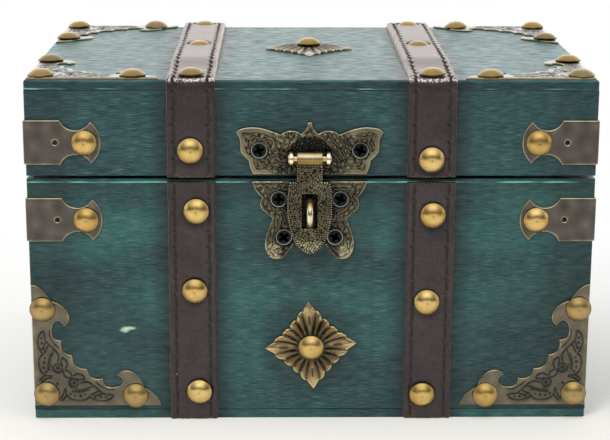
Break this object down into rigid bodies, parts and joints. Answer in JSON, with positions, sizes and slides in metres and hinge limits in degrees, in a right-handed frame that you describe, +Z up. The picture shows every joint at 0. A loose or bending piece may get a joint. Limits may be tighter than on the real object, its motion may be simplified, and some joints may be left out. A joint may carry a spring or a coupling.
{
  "type": "miniature trunk",
  "caption": "Small wooden trunk with a hinged lid, leather straps, scrolled corner plates, domed nails and a butterfly hasp latch with a padlock staple.",
  "frame": {"origin": "centre of the underside of the base", "axes": "+X to the trunk's right as seen from the front, +Y to the back, +Z up; the latch faces -Y"},
  "size_m": [0.2268, 0.1611, 0.1418],
  "materials": {
    "stained_wood": "dark teal stain, satin, worn at the edges",
    "strap_leather": "dark brown, stitched edges",
    "antique_bronze": "antique bronze, dark in the recesses",
    "dome_brass": "polished antique brass",
    "polished_brass": "polished",
    "black_screw": "black oxide",
    "hinge_brass": "antique bronze",
    "plain_steel": "plain steel wire"
  },
  "bodies": {
    "base": {"base_front_panel": "stained_wood", "base_back_panel": "stained_wood", "base_left_panel": "stained_wood", "base_right_panel": "stained_wood", "base_bottom_panel": "stained_wood", "base_front_strap_left": "strap_leather", "base_front_strap_right": "strap_leather", "base_back_strap_left": "strap_leather", "base_back_strap_right": "strap_leather", "base_bracket_left": "antique_bronze", "base_bracket_right": "antique_bronze", "base_corner_plate_left": "antique_bronze", "base_corner_plate_right": "antique_bronze", "front_star": "antique_bronze", "latch_lower_plate": "antique_bronze", "front_star_nail": "dome_brass", "base_strap_nails": "dome_brass", "base_bracket_nails": "dome_brass", "base_corner_nails": "dome_brass", "latch_staple": "polished_brass", "latch_lower_screws": "black_screw", "hinge_base_leaf_left": "hinge_brass", "hinge_base_leaf_right": "hinge_brass", "hinge_base_screws": "hinge_brass", "hinge_pin_left": "plain_steel", "hinge_pin_right": "plain_steel", "base_panel_pins": "plain_steel"},
    "lid": {"lid_front_rail": "stained_wood", "lid_back_rail": "stained_wood", "lid_left_rail": "stained_wood", "lid_right_rail": "stained_wood", "lid_top_panel": "stained_wood", "lid_panel_pins": "plain_steel", "lid_strap_left": "strap_leather", "lid_strap_right": "strap_leather", "lid_strap_nails": "dome_brass", "lid_bracket_left": "antique_bronze", "lid_bracket_right": "antique_bronze", "lid_bracket_nails": "dome_brass", "lid_corner_plate_front_left": "antique_bronze", "lid_corner_plate_front_right": "antique_bronze", "lid_corner_plate_back_left": "antique_bronze", "lid_corner_plate_back_right": "antique_bronze", "lid_corner_nails": "dome_brass", "top_star": "antique_bronze", "top_star_nail": "dome_brass", "latch_upper_plate": "antique_bronze", "latch_upper_screws": "black_screw", "latch_pin": "polished_brass", "hinge_lid_leaf_left": "hinge_brass", "hinge_lid_leaf_right": "hinge_brass", "hinge_lid_screws": "hinge_brass"},
    "hasp": {"latch_hasp": "antique_bronze"}
  },
  "joints": [
    {"name": "lid_hinge", "type": "hinge", "parent": "base", "child": "lid", "pos_m": [0, 0.0745, 0.0986], "axis": [-1, 0, 0], "range_deg": [0, 150]},
    {"name": "hasp_hinge", "type": "hinge", "parent": "lid", "child": "hasp", "pos_m": [-0.0008, -0.07665, 0.10701], "axis": [-1, 0, 0], "range_deg": [0, 180]}
  ]
}
